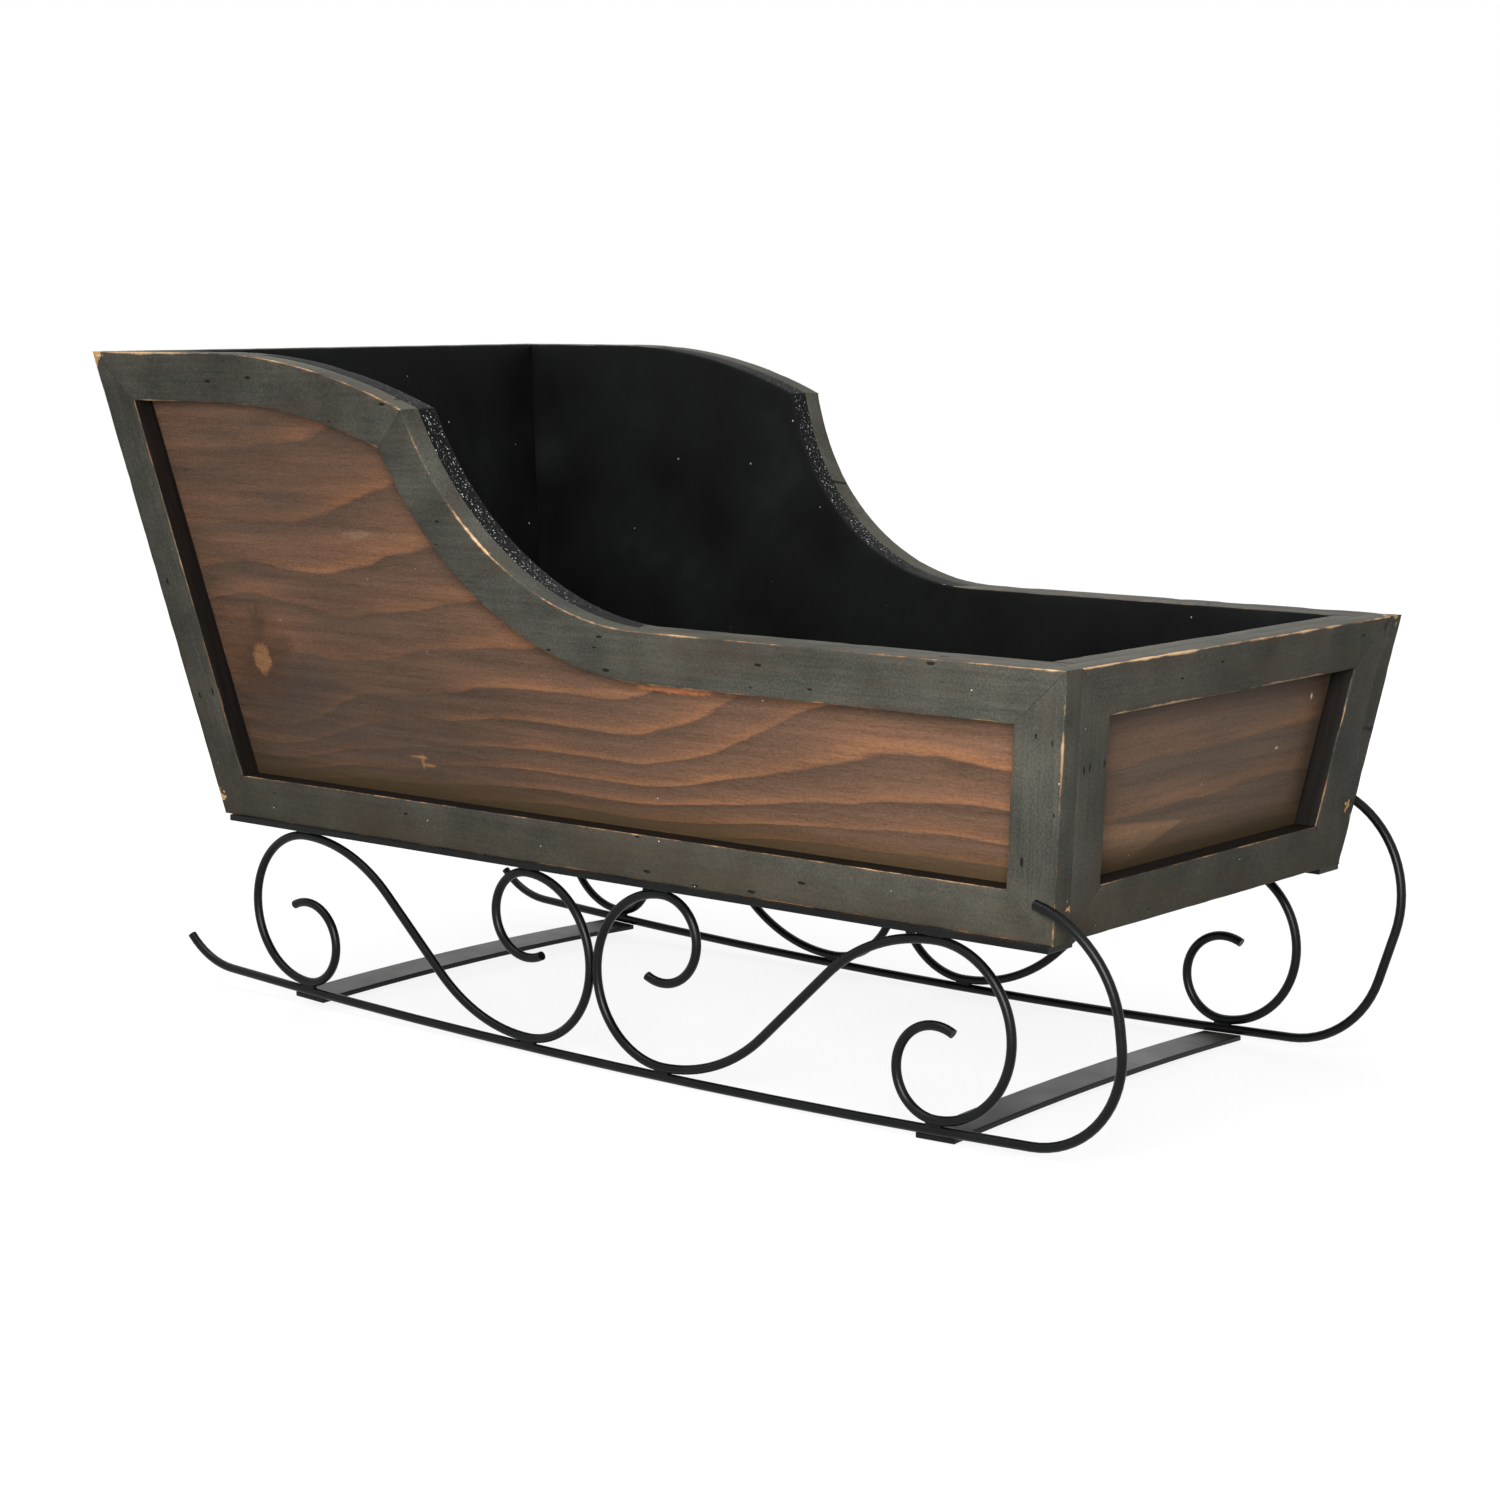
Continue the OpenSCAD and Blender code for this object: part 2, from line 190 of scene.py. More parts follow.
# %% [markdown]
# ## Three soft lamps
# A soft lamp is a large disk: the larger it is, the softer the edge of the shadow. The key lamp
# stands low in front, so that the frames throw no deep shadow on the panels. The one overhead
# draws the shadow on the floor. The one behind lights the back, which would be black without it.

# %% Hang the lamps
# Each lamp: name, place and size in metres, power in watts
LAMPS = (
    ("key_softbox", (0.7, -0.95, 0.42), 0.6, 20.5),
    ("overhead_softbox", (-0.2, -0.2, 1.9), 1.4, 30.0),
    ("back_softbox", (-0.75, 1.05, 0.45), 0.8, 14.0),
)
LAMP_AIM = Vector((0.0, 0.0, 0.15))
for name, place, size, power in LAMPS:
    lamp_data = bpy.data.lights.new(name, "AREA")
    lamp_data.shape = "DISK"
    lamp_data.size = size
    lamp_data.energy = power
    lamp = bpy.data.objects.new(name, lamp_data)
    lamp.location = place
    lamp.rotation_euler = (LAMP_AIM - Vector(place)).to_track_quat("-Z", "Y").to_euler()
    # The lamp behind would stand as a white patch in the flat straps, so gloss doesn't see it
    lamp.visible_glossy = name != "back_softbox"
    bpy.context.scene.collection.objects.link(lamp)
bpy.context.scene.view_settings.view_transform = "Standard"
print("lamps:", ", ".join(lamp[0] for lamp in LAMPS))

# %% [markdown]
# ## Which way the grain runs
# A strip is sawn along the grain, so its longest edge shows the grain's way, also on the curved
# rails, which are sawn out of a straight plank. Each wall's board gives the way that faces out.
# Three axes follow for each piece: along the grain, across it, and through the wood. They could
# be typed in for each of the wooden pieces; measured from the solids they follow any change.

# %% Find each piece's axes
def outward(board):
    """Unit vector that points out of a wall, or up from the floor board."""
    faces = nodes[board].data.polygons
    normal = max(faces, key=lambda face: face.area).normal.copy()
    low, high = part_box(board)
    away = (low + high) / 2
    away.z = 0.0
    if abs(normal.z) > abs(normal.x) + abs(normal.y):
        away = Vector((0, 0, 1))
    return normal if normal.dot(away) > 0 else -normal


def wall_of(name):
    """The board that a wooden node is, or is fixed to."""
    first = name.split("_")[0]
    return f"{first}_side_board" if first in ("right", "left") else f"{first}_board"


def wood_axes(name, longest):
    """Along, across and through directions of a piece of wood, from its longest edge."""
    through = outward(wall_of(name))
    along = longest.normalized()
    if along.x + along.y + along.z < 0:
        along = -along
    across = through.cross(along)
    return along, across if across.z >= 0 else -across, through


for board in ("right_side_board", "front_board", "back_board", "floor_board"):
    print(board, "faces", tuple(round(c, 3) for c in outward(board)))

# %% [markdown]
# ## Softened edges
# On the real frames no edge is crisp. A copy of each solid is merged, because a solid comes as
# loose triangles, and its sharp edges get a small bevel. A bevel of the same width all over would
# open the mitres, so each edge gets a weight: an edge that touches a neighbour is a joint and stays
# tight, and a free edge is rounder.

# %% Merge a copy and round its edges
WELD_GAP = 0.01 * MM
FLAT_ANGLE = math.radians(0.2)
SHARP_ANGLE = math.radians(25)
TOUCH_GAP = 0.25 * MM
FREE_BEVEL = 0.8 * MM
JOINT_BEVEL_SHARE = 0.1
BEVEL_STEPS = 3

trees = {name: BVHTree.FromPolygons([v.co for v in nodes[name].data.vertices],
                                    [face.vertices for face in nodes[name].data.polygons])
         for name in wooden}


def select_only(piece):
    """Deselects everything else and makes the piece active."""
    bpy.ops.object.select_all(action="DESELECT")
    piece.select_set(True)
    bpy.context.view_layer.objects.active = piece


def merged_copy(name):
    """A copy of a solid with its loose triangles joined into whole faces."""
    piece = bpy.data.objects.new(f"finished_{name}", nodes[name].data.copy())
    bpy.context.scene.collection.objects.link(piece)
    piece.data.materials.clear()
    select_only(piece)
    bpy.ops.mesh.customdata_custom_splitnormals_clear()
    bpy.ops.object.mode_set(mode="EDIT")
    bpy.ops.mesh.select_all(action="SELECT")
    bpy.ops.mesh.remove_doubles(threshold=WELD_GAP)
    bpy.ops.mesh.dissolve_limited(angle_limit=FLAT_ANGLE)
    bpy.ops.object.mode_set(mode="OBJECT")
    return piece


def sharp_edges(piece, name):
    """Sharp edges as pairs of points: those that are free, and those that touch a neighbour."""
    others = [tree for other, tree in trees.items() if other != name]
    shape = bmesh.new()
    shape.from_mesh(piece.data)
    found = {"free": [], "joint": []}
    weights = [0.0] * len(shape.edges)
    for edge in shape.edges:
        if len(edge.link_faces) != 2 or edge.calc_face_angle() < SHARP_ANGLE:
            continue
        start, end = (vert.co.copy() for vert in edge.verts)
        touching = any(tree.find_nearest((start + end) / 2, TOUCH_GAP)[0] for tree in others)
        found["joint" if touching else "free"].append((start, end))
        weights[edge.index] = JOINT_BEVEL_SHARE if touching else 1.0
    shape.free()
    layer = piece.data.attributes.new("bevel_weight_edge", "FLOAT", "EDGE")
    layer.data.foreach_set("value", weights)
    return found


def bevel_edges(piece, width):
    """Rounds the weighted edges."""
    bevel = piece.modifiers.new("soft_edges", "BEVEL")
    bevel.limit_method = "WEIGHT"
    bevel.width = width
    bevel.segments = BEVEL_STEPS
    select_only(piece)
    bpy.ops.object.modifier_apply(modifier=bevel.name)


print("ready to round", len(wooden), "pieces of wood")

# %% [markdown]
# ## Points to wear the wood by
# Sanding went through the paint along the edges, and knocks nibbled them. For that a surface needs
# points, so a grid of cuts goes through each piece. Each point then keeps, as an attribute, how far
# it is from an edge or a joint, and the finish reads that. An image could be painted with the wear
# instead, but an attribute needs no picture and fits any piece.

# %% Cut, measure and nibble a wooden piece
# Steps of the cuts along, across and through the wood
GRID = {"frame_paint": (5 * MM, 4 * MM, 3.7 * MM),
        "stained_board": (6 * MM, 6 * MM, 3.7 * MM),
        "black_floor": (24 * MM, 24 * MM, None)}
NO_EDGE_MM = 1000.0
NIBBLE_DEPTH = 0.4 * MM
NIBBLE_LENGTH = 11 * MM
FINE_NIBBLE_LENGTH = 3 * MM
FINE_NIBBLE_SHARE = 0.35
NIBBLE_REACH_MM = 1.0


def cut_grid(piece, axes, steps):
    """Cuts the piece by planes square to its axes, a step apart."""
    points = np.array([v.co for v in piece.data.vertices])
    bpy.ops.object.mode_set(mode="EDIT")
    for axis, step in zip(axes, steps):
        if step is None:
            continue
        spread = points @ np.array(axis)
        cuts = max(1, round((spread.max() - spread.min()) / step))
        for place in np.linspace(spread.min(), spread.max(), cuts + 1)[1:-1]:
            bpy.ops.mesh.select_all(action="SELECT")
            bpy.ops.mesh.bisect(plane_co=axis * place, plane_no=axis)
    bpy.ops.object.mode_set(mode="OBJECT")


def gap_mm(points, edges):
    """Distance in millimetres from each point to the nearest of some edges."""
    if not edges:
        return np.full(len(points), NO_EDGE_MM)
    start = np.array([edge[0] for edge in edges])
    way = np.array([edge[1] for edge in edges]) - start
    offset = points[:, None, :] - start[None]
    share = np.clip((offset * way).sum(2) / (way * way).sum(1), 0, 1)
    return np.linalg.norm(offset - share[..., None] * way, axis=2).min(1) / MM


def keep_attribute(piece, label, kind, values):
    """Stores one value, or one vector, for each point of the mesh."""
    layer = piece.data.attributes.new(label, kind, "POINT")
    layer.data.foreach_set("value" if kind == "FLOAT" else "vector",
                           values.astype(np.float32).ravel())


def nibble(piece, edge_gaps):
    """Sinks points near a free edge by a noise, as knocks and sanding do."""
    for vert, gap in zip(piece.data.vertices, edge_gaps):
        if gap < NIBBLE_REACH_MM:
            broad = noise.noise(vert.co / NIBBLE_LENGTH)
            fine = noise.noise(vert.co / FINE_NIBBLE_LENGTH)
            knock = max(0.0, broad + FINE_NIBBLE_SHARE * fine)
            vert.co -= vert.normal * knock * NIBBLE_DEPTH


print("cuts every", [step and round(step / MM, 1) for step in GRID["frame_paint"]], "mm in a strip")

# %% [markdown]
# ## Chips and sanded places
# A few chips and bright sanded edges are where the real sleigh has them. Each is a place and a
# reach: a point of the wood inside that reach gets a value up to 1, and the paint wears more there.
# Noise alone could scatter them, but the marks on the corners are what one knows the piece by.

# %% List the worn places and the planks
# Where each board was sawn from its plank, along and up it in metres, so that no two look alike
PLANK_PLACES = {"left_side_board": (-0.31, 0.035), "front_board": (-0.6, 0.054),
                "back_board": (0.44, 0.02)}
# Each strip comes from another place, this many metres on from the last one's
STRIP_STEP = (0.413, 0.271, 0.137)
# Chips where the paint came off, and edges that were sanded more: place and reach in millimetres
CHIPS = (
    ((-289, -155, 320), 12),
    ((257, 113, 118), 8),
    ((256, 121, 112), 6.5),
    ((256, -107, 106), 10),
    ((-244, -117, 100), 7),
    ((-33, -141, 236), 6),
    ((268, 128, 203), 9),
)
SANDED = (
    ((70, -132, 180), 30),
    ((-38, -141, 241), 20),
    ((266, -60, 204), 80),
    ((266, 40, 204), 50),
    ((284, -146, 170), 45),
    ((-250, -150, 318), 40),
)
print("worn places:", len(CHIPS), "chips and", len(SANDED), "sanded edges")

# %% [markdown]
# ## The wooden pieces
# Boards and strips all go through the same bench: copy, bevel, cut, measure, nibble. All edges are
# found before the first bevel, because a board also asks where the strips on it have their joints.
# The distance to a bottom rail is kept by itself, since stain gathered along that sill.

# %% Make the wooden pieces
SMOOTH_ANGLE = math.radians(35)

pieces = {name: merged_copy(name) for name in wooden}
edges = {name: sharp_edges(pieces[name], name) for name in wooden}
for number, (name, piece) in enumerate(pieces.items()):
    longest = max((end - start for start, end in edges[name]["free"] + edges[name]["joint"]),
                  key=lambda way: way.length)
    axes = wood_axes(name, longest)
    bevel_edges(piece, FREE_BEVEL)
    cut_grid(piece, axes, GRID[slots[name]])
    points = np.array([v.co for v in piece.data.vertices])
    edge_gaps = gap_mm(points, edges[name]["free"])
    joints = list(edges[name]["joint"])
    if slots[name] == "stained_board":
        for strip in wooden:
            joints += edges[strip]["joint"] if wall_of(strip) == name else []
    keep_attribute(piece, "edge_mm", "FLOAT", edge_gaps)
    keep_attribute(piece, "joint_mm", "FLOAT", gap_mm(points, joints))
    sills = [edge for strip in wooden if strip.endswith("bottom_rail") and wall_of(strip) == name
             for edge in edges[strip]["joint"]]
    keep_attribute(piece, "sill_mm", "FLOAT", gap_mm(points, sills))
    for label, spots in (("chip", CHIPS), ("sanded", SANDED)):
        nearness = [1 - np.linalg.norm(points / MM - place, axis=1) / reach
                    for place, reach in spots]
        keep_attribute(piece, label, "FLOAT", np.clip(np.max(nearness, axis=0), 0, 1))
    grain = points @ np.array(axes).T
    grain -= [(grain[:, 0].min() + grain[:, 0].max()) / 2, grain[:, 1].min(), grain[:, 2].max()]
    if slots[name] == "stained_board":
        grain[:, :2] += PLANK_PLACES.get(name, (0.0, 0.0))
    else:
        grain += np.array(STRIP_STEP) * (number + 1)
    keep_attribute(piece, "grain", "FLOAT_VECTOR", grain)
    nibble(piece, edge_gaps)
    select_only(piece)
    bpy.ops.object.shade_smooth_by_angle(angle=SMOOTH_ANGLE)
    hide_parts(name)
    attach(piece, "root")
print("wood:", sum(len(p.data.polygons) for p in pieces.values()), "faces on", len(pieces),
      "pieces")

# %% [markdown]
# ## Dots for dents and dust
# Dents and dust are small dots, strewn unevenly over paint and stain alike. A Voronoi pattern
# divides the surface into cells with a point in each. A share of the cells, chosen by the cell's
# random colour, gets a dot round its point. Dents cut into the mesh would need far more faces.

# %% Strew dots
def dots(tree, place, per_metre, share, size):
    """1 on a scatter of dots: a share of the cells have one, up to a size counted in cells."""
    cells = add(tree, "VectorMath", {0: place, 1: per_metre}, operation="MULTIPLY")
    centre = add(tree, "TexVoronoi", {"Vector": cells, "Scale": 1.0}, out="Distance",
                 voronoi_dimensions="2D")
    chance = add(tree, "TexVoronoi", {"Vector": cells, "Scale": 1.0}, out="Color",
                 voronoi_dimensions="2D")
    chance = add(tree, "SeparateColor", {0: chance})
    reach = add(tree, "MapRange", {"Value": chance, "From Min": 1 - share, "From Max": 1.0,
                                   "To Max": size})
    inside = add(tree, "Math", {0: reach, 1: centre}, operation="SUBTRACT")
    return add(tree, "MapRange", {"Value": inside, "From Min": 0.0, "From Max": size / 3})


print("dots: ready")

# %% [markdown]
# ## Rubbed paint: its colour
# The frames are pine under charcoal paint, brushed on by hand: satin, a little green, thin in
# places. One flat colour would look like plastic, so three noises are added up: long brush marks
# that follow the grain, clouds, and a fine mottle. A ramp then turns the sum into paint.

# %% Brush the paint
paint_finish, tree, shader = new_finish("rubbed_charcoal_paint")
grain = add(tree, "Attribute", out="Vector", attribute_name="grain")
edge = add(tree, "Attribute", out="Fac", attribute_name="edge_mm")
joint = add(tree, "Attribute", out="Fac", attribute_name="joint_mm")
chip = add(tree, "Attribute", out="Fac", attribute_name="chip")
sanded = add(tree, "Attribute", out="Fac", attribute_name="sanded")
# Brush marks about 40 mm long and 2 mm apart, clouds of about 30 mm and a mottle of 1 mm
brushed = add(tree, "VectorMath", {0: grain, 1: (25, 500, 500)}, operation="MULTIPLY")
streak = add(tree, "TexNoise", {"Vector": brushed, "Scale": 1.0, "Detail": 4.0, "Roughness": 0.6})
cloud = add(tree, "TexNoise", {"Vector": grain, "Scale": 33.0, "Detail": 3.0})
mottle = add(tree, "TexNoise", {"Vector": grain, "Scale": 900.0, "Detail": 2.0})
tone = add(tree, "Math", {0: streak, 1: 0.6, 2: cloud}, operation="MULTIPLY_ADD")
tone = add(tree, "Math", {0: mottle, 1: 0.8, 2: tone}, operation="MULTIPLY_ADD")
tone = add(tree, "MapRange", {"Value": tone, "From Min": 0.85, "From Max": 1.55})
paint = add(tree, "ValToRGB", {"Fac": tone}, stops=((0.0, "32332e"), (0.5, "45453f"),
                                                    (1.0, "58574e")))
bare = add(tree, "ValToRGB", {"Fac": streak}, stops=((0.3, "5a3f2d"), (0.5, "7f5b40"),
                                                     (0.7, "b8936a")))
# The paint is thin in long patches, where the wood shows through brown
thin = add(tree, "VectorMath", {0: grain, 1: (11, 60, 60)}, operation="MULTIPLY")
thin = add(tree, "TexNoise", {"Vector": thin, "Scale": 1.0, "Detail": 4.0, "Roughness": 0.65})
thin = add(tree, "MapRange", {"Value": thin, "From Min": 0.45, "From Max": 0.75, "To Max": 0.55})
paint = add(tree, "Mix", {0: thin, 6: paint, 7: linear("4f4337")}, out=2, data_type="RGBA")
# The walls' feet have a brown bloom, which fades out about 35 mm up
place = add(tree, "TexCoord", out="Object")
low = add(tree, "SeparateXYZ", {0: place}, out="Z")
low = add(tree, "MapRange", {"Value": low, "From Min": 88 * MM, "From Max": 125 * MM, "To Min": 0.9,
                             "To Max": 0.0})
low = add(tree, "Math", {0: low, 1: streak}, operation="MULTIPLY")
paint = add(tree, "Mix", {0: low, 6: paint, 7: linear("443a2d")}, out=2, data_type="RGBA")
print("paint: brushed, with", len(tree.nodes), "nodes")

# %% [markdown]
# ## Rubbed paint: sanded edges
# The edges were sanded through to copper and tan wood, so that the piece looks old. The paint knows
# how far the nearest edge is, and a noise decides how far in the sanding has reached there. The
# shader's pointiness could find edges too, but it follows the mesh and knows no millimetres.

# %% Sand the paint
# Sanding reaches from nothing to about 1.5 mm in from an edge, by places
rubbed = add(tree, "VectorMath", {0: grain, 1: (70, 170, 170)}, operation="MULTIPLY")
rub = add(tree, "TexNoise", {"Vector": rubbed, "Scale": 1.0, "Detail": 5.0, "Roughness": 0.65})
rub = add(tree, "Math", {0: cloud, 1: 0.5, 2: rub}, operation="MULTIPLY_ADD")
reach = add(tree, "MapRange", {"Value": rub, "From Min": 0.6, "From Max": 1.05, "To Min": 0.0,
                               "To Max": 1.2})
# Hands and cloths rub the top edges most, down to the palest wood
facing = add(tree, "NewGeometry", out="True Normal")
upward = add(tree, "SeparateXYZ", {0: facing}, out="Z")
upward = add(tree, "MapRange", {"Value": upward, "From Min": 0.25, "From Max": 0.7})
reach = add(tree, "Math", {0: upward, 1: 0.2, 2: reach}, operation="MULTIPLY_ADD")
sanded = add(tree, "Math", {0: sanded, 1: rub}, operation="MULTIPLY")
reach = add(tree, "Math", {0: sanded, 1: 0.6, 2: reach}, operation="MULTIPLY_ADD")
paler = add(tree, "MapRange", {"Value": rub, "From Min": 0.75, "From Max": 1.1, "To Max": 0.9})
paler = add(tree, "Math", {0: upward, 1: paler}, operation="MULTIPLY")
bare = add(tree, "Mix", {0: paler, 6: bare, 7: linear("d3bd9d")}, out=2, data_type="RGBA")
bare = add(tree, "Mix", {0: sanded, 6: bare, 7: linear("cdac86")}, out=2, data_type="RGBA")
depth = add(tree, "Math", {0: edge, 1: reach}, operation="SUBTRACT")
worn = add(tree, "MapRange", {"Value": depth, "From Min": -0.35, "From Max": 0.15, "To Min": 1.0,
                              "To Max": 0.0})
colour = add(tree, "Mix", {0: worn, 6: paint, 7: bare}, out=2, data_type="RGBA")
print("paint: sanded, with", len(tree.nodes), "nodes")

# %% [markdown]
# ## Rubbed paint: chips, dents and dust
# A chip shows fresh wood, paler than a sanded edge, with a ragged outline: noise is added to the
# value that the point keeps, and what passes a limit is chipped. Dents are dark because dirt stays
# in them, and a joint that has opened a little shows as a dark line.

# %% Chip and dent the paint
# Chips down to pale wood, ragged at 2 mm, that keep to the edges
ragged = add(tree, "TexNoise", {"Vector": grain, "Scale": 420.0, "Detail": 3.0})
ragged = add(tree, "Math", {0: ragged, 1: chip}, operation="ADD")
ragged = add(tree, "Math", {0: edge, 1: -0.025, 2: ragged}, operation="MULTIPLY_ADD")
chipped = add(tree, "MapRange", {"Value": ragged, "From Min": 0.93, "From Max": 1.0})
fresh = add(tree, "ValToRGB", {"Fac": streak}, stops=((0.35, "a9703f"), (0.5, "c89a66"),
                                                      (0.65, "dcc096")))
colour = add(tree, "Mix", {0: chipped, 6: colour, 7: fresh}, out=2, data_type="RGBA")
# Dents about 3 by 1 mm, the dark line of a joint where it has opened, and specks of dust
dent = dots(tree, grain, (34, 95, 0), 0.5, 0.09)
seam = add(tree, "MapRange", {"Value": joint, "From Min": 0.1, "From Max": 0.3, "To Min": 1.0,
                              "To Max": 0.0})
opened = add(tree, "MapRange", {"Value": rub, "From Min": 0.7, "From Max": 0.95, "To Max": 0.6})
seam = add(tree, "Math", {0: seam, 1: opened}, operation="MULTIPLY")
dark = add(tree, "Math", {0: dent, 1: 0.85, 2: seam}, operation="MULTIPLY_ADD")
colour = add(tree, "Mix", {0: dark, 6: colour, 7: linear("141310")}, out=2, data_type="RGBA")
dust = dots(tree, grain, (55, 75, 0), 0.12, 0.03)
colour = add(tree, "Mix", {0: dust, 6: colour, 7: linear("b9b7ac")}, out=2, data_type="RGBA")
tree.links.new(colour, shader.inputs["Base Color"])
print("paint: chipped, with", len(tree.nodes), "nodes")

# %% [markdown]
# ## Rubbed paint: gloss and relief
# Brushed paint is satin: its roughness changes with the brush marks. The relief is far below a
# millimetre, so a bump in the shader is enough for it, while the nibbled edges are real geometry.

# %% Give the paint its gloss and relief
rough = add(tree, "MapRange", {"Value": streak, "From Min": 0.3, "From Max": 0.7, "To Min": 0.44,
                               "To Max": 0.6})
tree.links.new(rough, shader.inputs["Roughness"])
shader.inputs["Specular IOR Level"].default_value = 0.03
# The relief: brush ridges, then paint edges, then dents
bared = add(tree, "Math", {0: worn, 1: chipped}, operation="MAXIMUM")
ridge = add(tree, "Math", {0: streak, 1: 0.15}, operation="MULTIPLY")
relief = add(tree, "Math", {0: bared, 1: -0.3, 2: ridge}, operation="MULTIPLY_ADD")
relief = add(tree, "Math", {0: dent, 1: -2.0, 2: relief}, operation="MULTIPLY_ADD")
bump = add(tree, "Bump", {"Height": relief, "Strength": 0.6, "Distance": 0.25 * MM})
tree.links.new(bump, shader.inputs["Normal"])
print("finish:", paint_finish.name)

# %% [markdown]
# ## Walnut stain: bent rings
# The panels are flat-sawn pine under brown stain. Where a plank is sawn near the bark, its growth
# rings show as long arcs. A wave pattern gives stripes of one width, so the rings are counted out
# here: a number that grows across the plank, bent by a slow noise, fanned out and pushed aside by a
# knot. Its whole part tells which ring a point is in, and its fraction how far through that ring.

# %% Bend the rings
RINGS_PER_FOLD = 5.0
FIRST_RING = 20 * MM
KNOT_PLACE = (-201 * MM, 84 * MM, 0.0)
# How far round its middle the knot bends the rings, along and across, and how much
KNOT_BEND = (48 * MM, 52 * MM)
KNOT_PUSH = 24 * MM

stain_finish, tree, shader = new_finish("walnut_stained_pine")
grain = add(tree, "Attribute", out="Vector", attribute_name="grain")
joint = add(tree, "Attribute", out="Fac", attribute_name="joint_mm")
sill = add(tree, "Attribute", out="Fac", attribute_name="sill_mm")
along = add(tree, "SeparateXYZ", {0: grain}, out="X")
height = add(tree, "SeparateXYZ", {0: grain}, out="Y")
# The rings fan out to the right, as towards the end of a tapering log
rise = add(tree, "MapRange", {"Value": along, "From Min": -200 * MM, "From Max": 0.0,
                              "To Min": 0.8, "To Max": 1.0}, interpolation_type="SMOOTHSTEP")
fan = add(tree, "MapRange", {"Value": along, "From Min": 28 * MM, "From Max": 183 * MM,
                             "To Max": 0.64}, interpolation_type="SMOOTHSTEP")
widening = add(tree, "MapRange", {"Value": height, "From Min": 25 * MM, "From Max": 85 * MM,
                                  "To Min": 0.4, "To Max": 1.0})
fan = add(tree, "Math", {0: fan, 1: widening, 2: rise}, operation="MULTIPLY_ADD")
# Slow swells about 150 mm long, and the knot that pushes the rings up and down
slow = add(tree, "VectorMath", {0: grain, 1: (7, 16, 0)}, operation="MULTIPLY")
swell = add(tree, "TexNoise", {"Vector": slow, "Scale": 1.0, "Detail": 1.0, "Roughness": 0.3})
bent = add(tree, "Math", {0: swell, 1: 8 * MM, 2: height}, operation="MULTIPLY_ADD")
from_knot = add(tree, "VectorMath", {0: grain, 1: KNOT_PLACE}, operation="SUBTRACT")
off_knot = add(tree, "VectorMath", {0: from_knot, 1: (1 / KNOT_BEND[0], 1 / KNOT_BEND[1], 0)},
               operation="MULTIPLY")
off_knot = add(tree, "VectorMath", {0: off_knot}, out="Value", operation="LENGTH")
push = add(tree, "MapRange", {"Value": off_knot, "From Min": 0.0, "From Max": 1.6,
                              "To Min": KNOT_PUSH, "To Max": 0.0}, interpolation_type="SMOOTHSTEP")
over = add(tree, "SeparateXYZ", {0: from_knot}, out="Y")
side = add(tree, "MapRange", {"Value": over, "From Min": -22 * MM, "From Max": 22 * MM,
                              "To Min": 1.0, "To Max": -1.0})
bent = add(tree, "Math", {0: push, 1: side, 2: bent}, operation="MULTIPLY_ADD")
bent = add(tree, "Math", {0: bent, 1: fan}, operation="DIVIDE")
# Rings lie closer low down, towards the bark: their number goes with the height's logarithm
share = add(tree, "Math", {0: bent, 1: FIRST_RING}, operation="DIVIDE")
share = add(tree, "Math", {0: share, 1: 0.2}, operation="MAXIMUM")
rings = add(tree, "Math", {0: share, 1: math.e}, operation="LOGARITHM")
rings = add(tree, "Math", {0: rings, 1: -RINGS_PER_FOLD, 2: 0.1}, operation="MULTIPLY_ADD")
rough_edge = add(tree, "VectorMath", {0: grain, 1: (16, 60, 0)}, operation="MULTIPLY")
wobble = add(tree, "TexNoise", {"Vector": rough_edge, "Scale": 1.0, "Detail": 3.0,
                                "Roughness": 0.45})
rings = add(tree, "Math", {0: wobble, 1: 0.55, 2: rings}, operation="MULTIPLY_ADD")
ring = add(tree, "Math", {0: rings}, operation="FRACT")
print("stain: rings bent, with", len(tree.nodes), "nodes")

# %% [markdown]
# ## Walnut stain: its colour
# Each ring goes from dark to a warm light edge and then starts dark again, which a ramp over the
# ring's fraction gives. No two rings drink alike, so each gets its own strength by its number. Then
# the stain is uneven: faded here, smoky towards the back, and darker low down towards the back.

# %% Stain the rings
count = add(tree, "Math", {0: rings}, operation="FLOOR")
uneven = add(tree, "TexWhiteNoise", {"W": count}, noise_dimensions="1D")
colour = add(tree, "ValToRGB", {"Fac": ring}, stops=(
    (0.0, "513d31"), (0.2, "614a3a"), (0.65, "7a5742"), (0.9, "9a6947"), (0.95, "946546"),
    (1.0, "513d31")))
uneven = add(tree, "MapRange", {"Value": uneven, "To Min": 0.8, "To Max": 1.15})
colour = add(tree, "VectorMath", {0: colour, 1: uneven}, operation="MULTIPLY")
# The rings fade in and out, and the stain is greyer and thicker towards the back
plain = add(tree, "TexNoise", {"Vector": grain, "Scale": 9.0, "Detail": 3.0})
faded = add(tree, "MapRange", {"Value": plain, "From Min": 0.35, "From Max": 0.65, "To Min": 0.15,
                               "To Max": 0.7})
fading = add(tree, "MapRange", {"Value": along, "From Min": -200 * MM, "From Max": 60 * MM,
                                "To Min": 0.15, "To Max": 0.0})
faded = add(tree, "Math", {0: faded, 1: fading}, operation="ADD")
pale = add(tree, "MapRange", {"Value": along, "From Min": -500 * MM, "From Max": -420 * MM,
                              "To Min": 0.45, "To Max": 0.0})
faded = add(tree, "Math", {0: pale, 1: -0.9, 2: faded}, operation="MULTIPLY_ADD")
colour = add(tree, "Mix", {0: faded, 6: colour, 7: linear("6c5242")}, out=2, data_type="RGBA")
